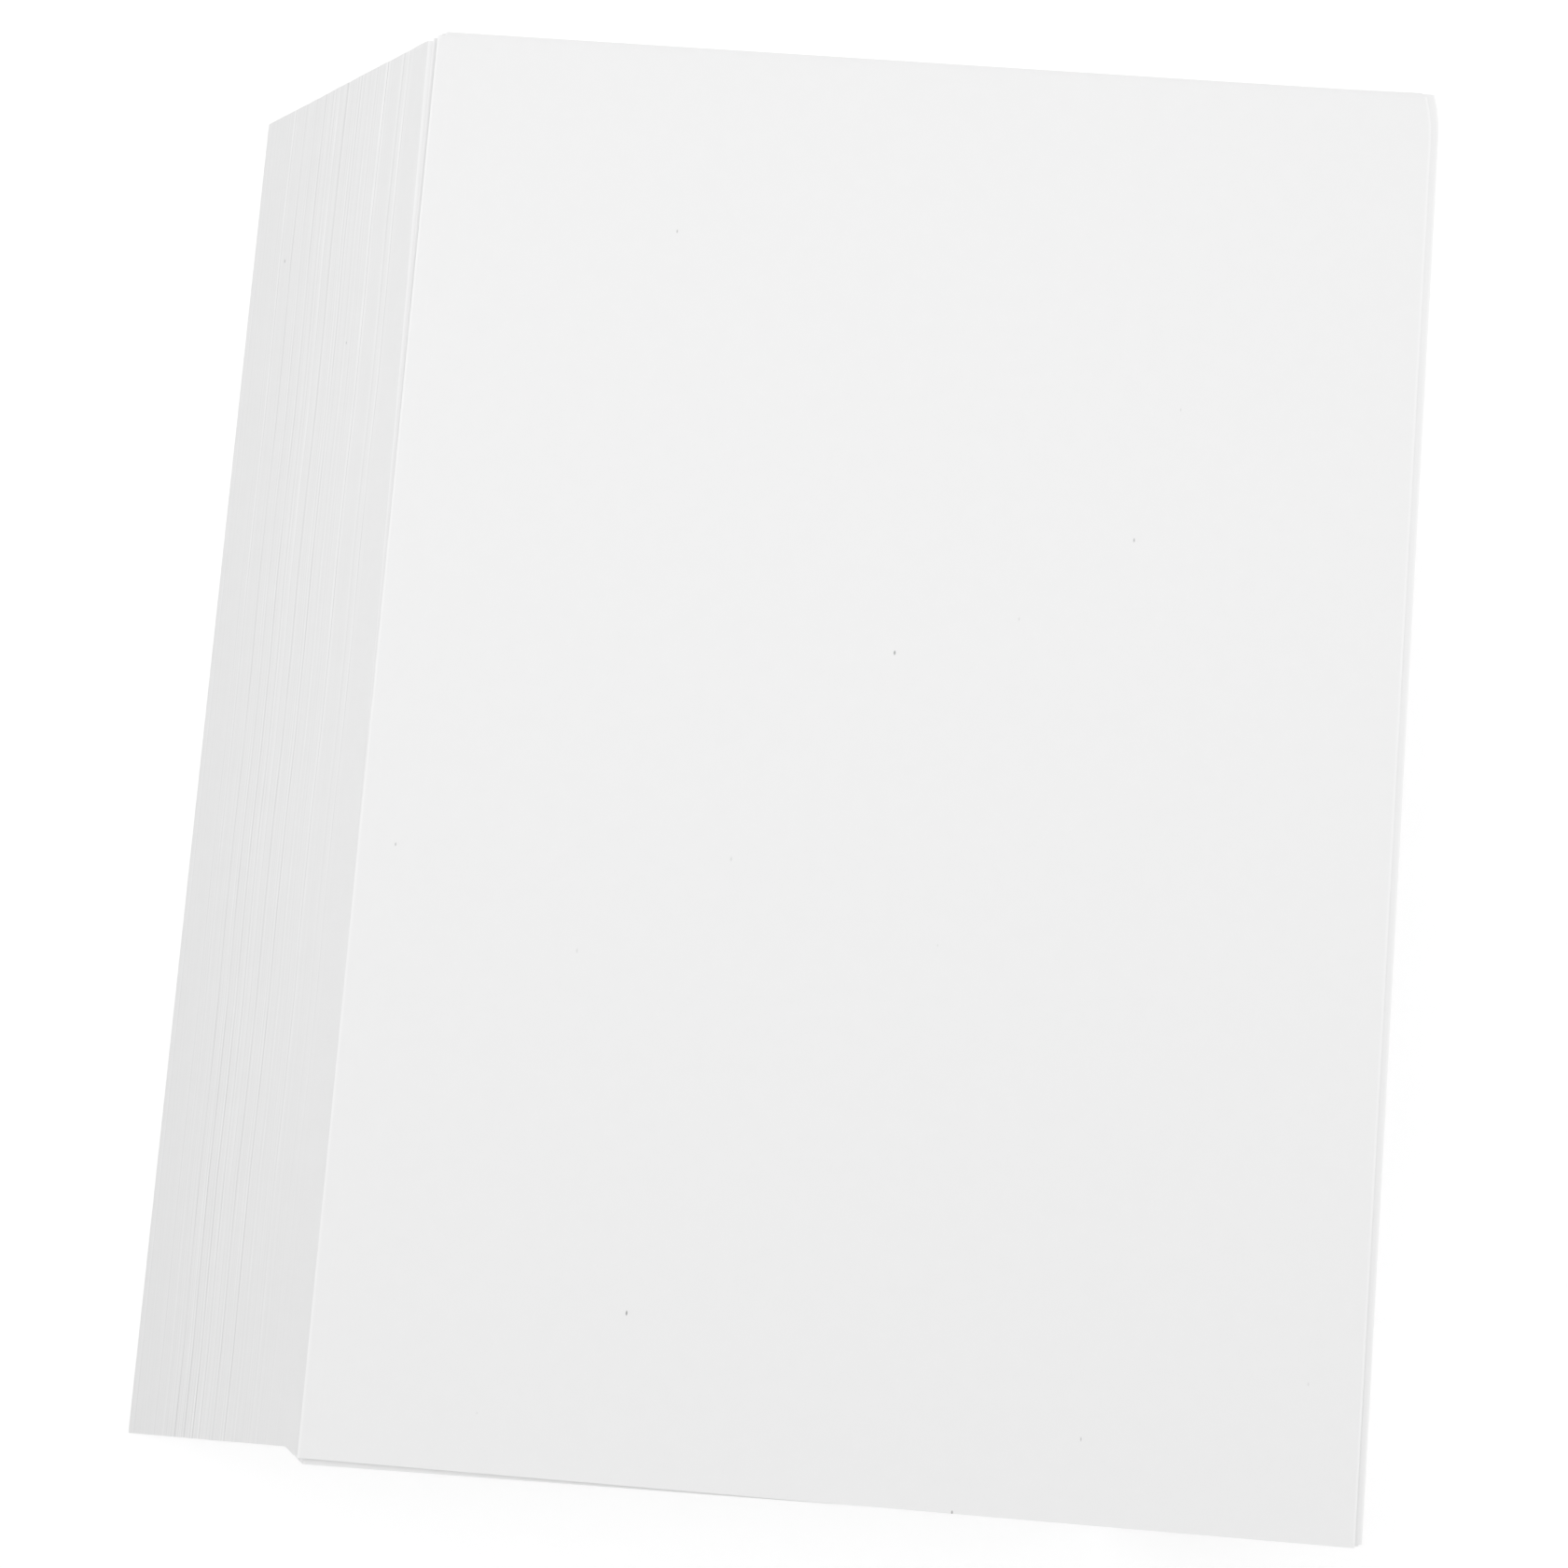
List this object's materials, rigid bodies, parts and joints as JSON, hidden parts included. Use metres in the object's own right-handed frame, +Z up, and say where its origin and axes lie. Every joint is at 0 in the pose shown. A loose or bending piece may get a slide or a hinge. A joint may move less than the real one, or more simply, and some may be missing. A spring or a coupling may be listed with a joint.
{
  "type": "ream of paper",
  "caption": "Leaning stack of plain white office paper, slid sideways so that the sheet edges show along one long side, with a few loose sheets askew on top.",
  "frame": {"origin": "middle of the lowest sheet's underside, on the surface the ream rests on", "axes": "+X along the short edge, the way the ream leans; +Y along the long edge, away from the viewer; +Z up"},
  "size_m": [0.259, 0.3021, 0.054],
  "materials": {
    "sheet_face": "matt uncoated white office paper",
    "sheet_edges": "matt cut edges of stacked white office paper"
  },
  "bodies": {
    "root": {"lower_bundle_1": "sheet_edges", "lower_bundle_2": "sheet_edges", "lower_bundle_3": "sheet_edges", "lower_bundle_4": "sheet_edges", "lower_bundle_5": "sheet_edges", "lower_bundle_6": "sheet_edges", "lower_bundle_7": "sheet_edges", "lower_bundle_8": "sheet_edges", "lower_bundle_9": "sheet_edges", "upper_bundle_1": "sheet_edges", "upper_bundle_2": "sheet_edges", "loose_sheet_1": "sheet_face", "loose_sheet_2": "sheet_face", "loose_sheet_3": "sheet_face", "loose_sheet_4": "sheet_face", "top_sheet": "sheet_face"}
  },
  "joints": []
}
